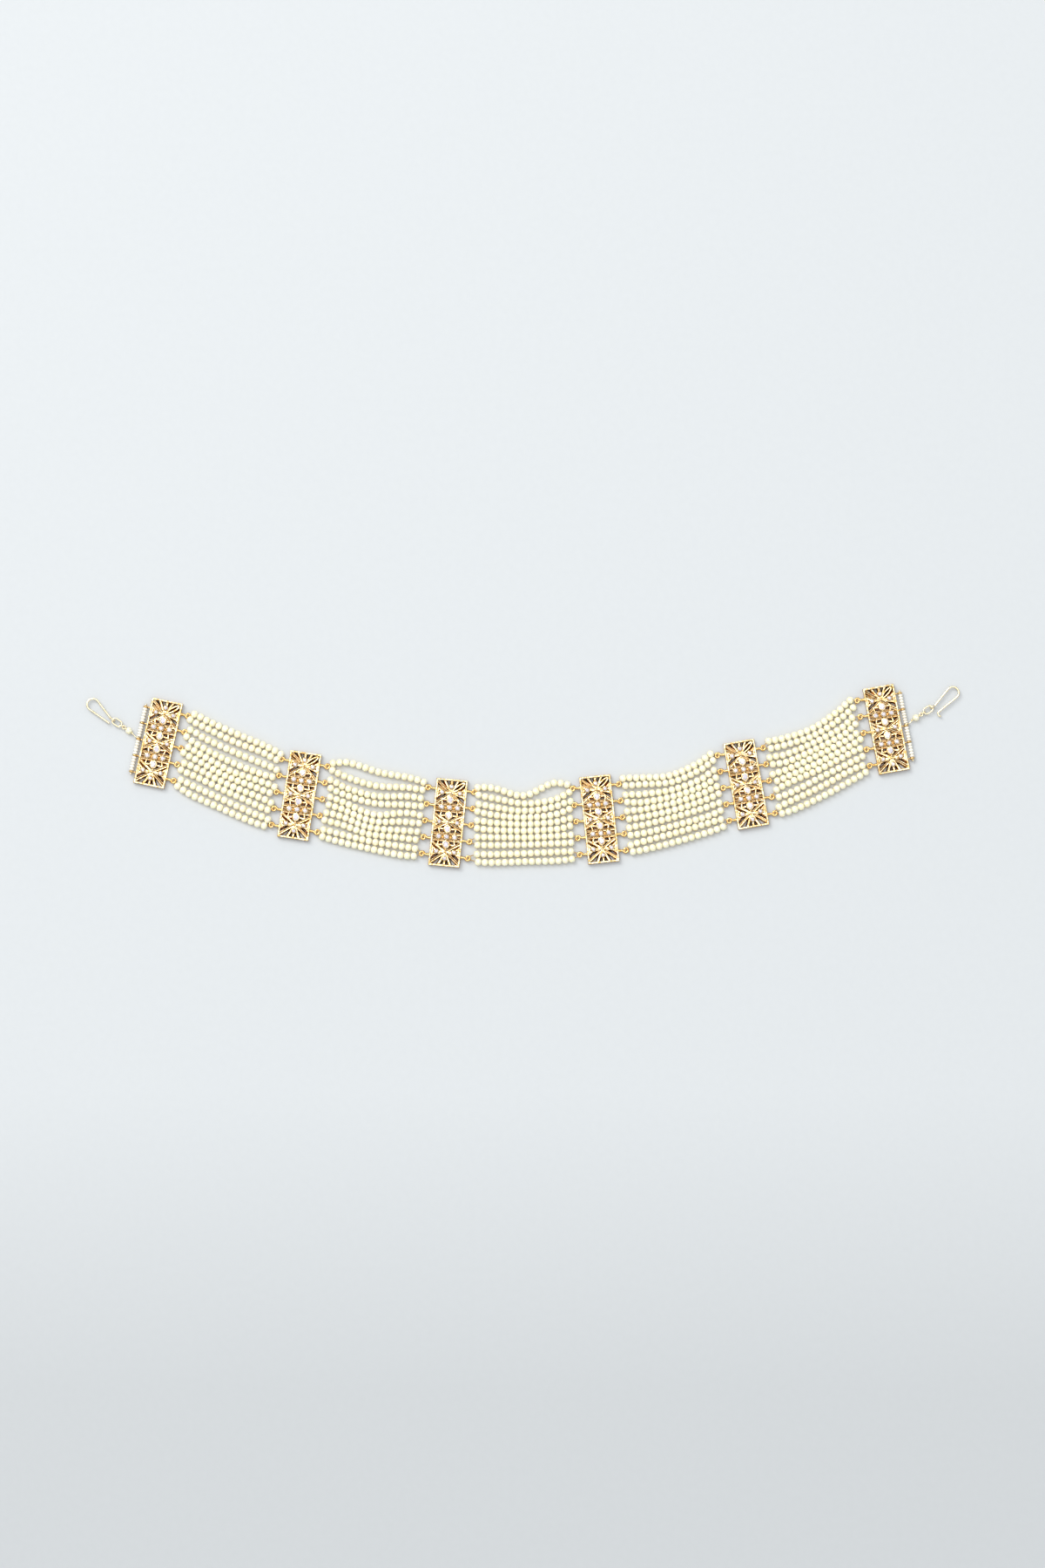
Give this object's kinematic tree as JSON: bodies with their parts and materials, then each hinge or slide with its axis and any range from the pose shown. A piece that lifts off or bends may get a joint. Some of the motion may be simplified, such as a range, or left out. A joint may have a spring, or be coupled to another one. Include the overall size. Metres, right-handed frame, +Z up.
{
  "type": "matha patti hair band",
  "caption": "Flat head band of pierced gold plates set with white stones, joined by strings of pearls, with a seed bead bar, a pearl, links and a wire hook at each end.",
  "frame": {"origin": "centre of the bounding box in plan, on the surface the band lies on", "axes": "+X along the band from its left hook to its right hook, +Y towards the brow side at the picture's top, +Z up off the surface"},
  "size_m": [0.3888, 0.0822, 0.003],
  "materials": {
    "gold": "polished gold plate, warm, worn paler on the edges and darker in the recesses",
    "crystal": "clear faceted stones",
    "pearl": "ivory pearl with a soft lustre",
    "seed_bead": "white glass seed beads",
    "thread": "fine twisted thread"
  },
  "bodies": {
    "root": {"plate_1": "gold", "plate_2": "gold", "plate_3": "gold", "plate_4": "gold", "plate_5": "gold", "plate_6": "gold", "stones_1": "crystal", "stones_2": "crystal", "stones_3": "crystal", "stones_4": "crystal", "stones_5": "crystal", "stones_6": "crystal", "strings_1a": "pearl", "strings_1b": "pearl", "strings_1c": "pearl", "strings_1d": "pearl", "strings_2a": "pearl", "strings_2b": "pearl", "strings_2c": "pearl", "strings_2d": "pearl", "strings_3a": "pearl", "strings_3b": "pearl", "strings_3c": "pearl", "strings_3d": "pearl", "strings_4a": "pearl", "strings_4b": "pearl", "strings_4c": "pearl", "strings_4d": "pearl", "strings_5a": "pearl", "strings_5b": "pearl", "strings_5c": "pearl", "strings_5d": "pearl", "pearls_1": "pearl", "pearls_2": "pearl", "pearls_3": "pearl", "pearls_4": "pearl", "pearls_5": "pearl", "thread_1": "thread", "thread_2": "thread", "thread_3": "thread", "thread_4": "thread", "thread_5": "thread", "bead_bar_left": "seed_bead", "bar_pin_left": "gold", "eye_pin_left": "gold", "end_pearl_left": "pearl", "short_link_left": "gold", "oval_link_left": "gold", "hook_left": "gold", "bead_bar_right": "seed_bead", "bar_pin_right": "gold", "eye_pin_right": "gold", "end_pearl_right": "pearl", "short_link_right": "gold", "oval_link_right": "gold", "hook_right": "gold"}
  },
  "joints": []
}
